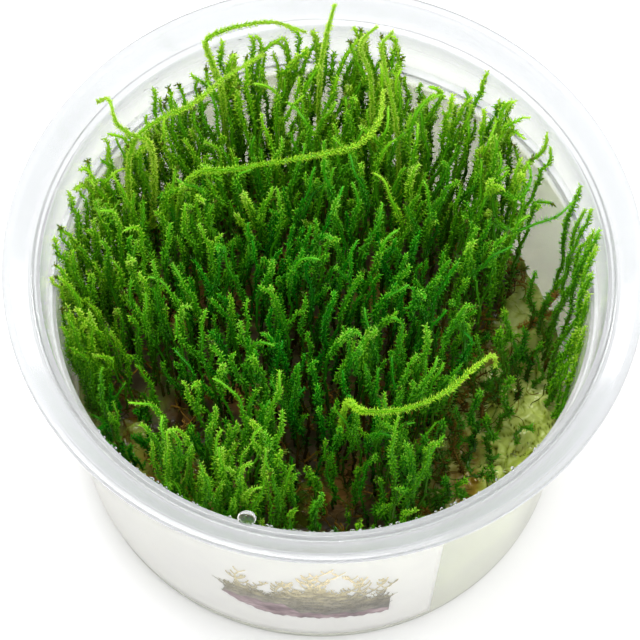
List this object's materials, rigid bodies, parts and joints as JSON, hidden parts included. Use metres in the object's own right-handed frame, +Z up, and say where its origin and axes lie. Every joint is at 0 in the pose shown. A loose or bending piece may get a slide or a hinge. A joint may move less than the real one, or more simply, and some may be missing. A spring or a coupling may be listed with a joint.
{
  "type": "moss clump in a culture cup",
  "caption": "Dense clump of upright green water moss growing on clear gel in an open, flanged clear plastic culture cup with a paper band.",
  "frame": {"origin": "centre of the cup's base, on the surface that it stands on", "axes": "+Z up through the cup's mouth, front of the cup towards -Y, the bare gel towards +X and a little -Y"},
  "size_m": [0.1, 0.1, 0.0708],
  "materials": {
    "clear_plastic": "clear, slightly milky",
    "label_paper": "satin",
    "clear_gel": "wet, clear",
    "old_stems": "matte fibrous",
    "green_moss": "soft leafy, faint sheen",
    "bright_moss": "soft leafy, faint sheen"
  },
  "bodies": {
    "root": {"cup": "clear_plastic", "label": "label_paper", "culture_gel": "clear_gel", "old_stem_mat": "old_stems", "moss_tuft_01": "green_moss", "moss_tuft_02": "green_moss", "moss_tuft_03": "green_moss", "moss_tuft_04": "green_moss", "moss_tuft_05": "green_moss", "moss_tuft_06": "green_moss", "moss_tuft_07": "green_moss", "moss_tuft_08": "green_moss", "moss_tuft_09": "green_moss", "moss_tuft_10": "green_moss", "moss_tuft_11": "green_moss", "moss_tuft_12": "green_moss", "moss_tuft_13": "green_moss", "moss_tuft_14": "green_moss", "moss_tuft_15": "green_moss", "moss_tuft_16": "green_moss", "long_arch_shoot": "bright_moss", "front_arch_shoot": "bright_moss", "rim_runner_shoot": "bright_moss", "rim_tip_shoot": "bright_moss", "left_hook_shoot": "bright_moss", "left_bow_shoot": "bright_moss", "back_curl_shoot_1": "bright_moss", "back_curl_shoot_2": "bright_moss"}
  },
  "joints": []
}
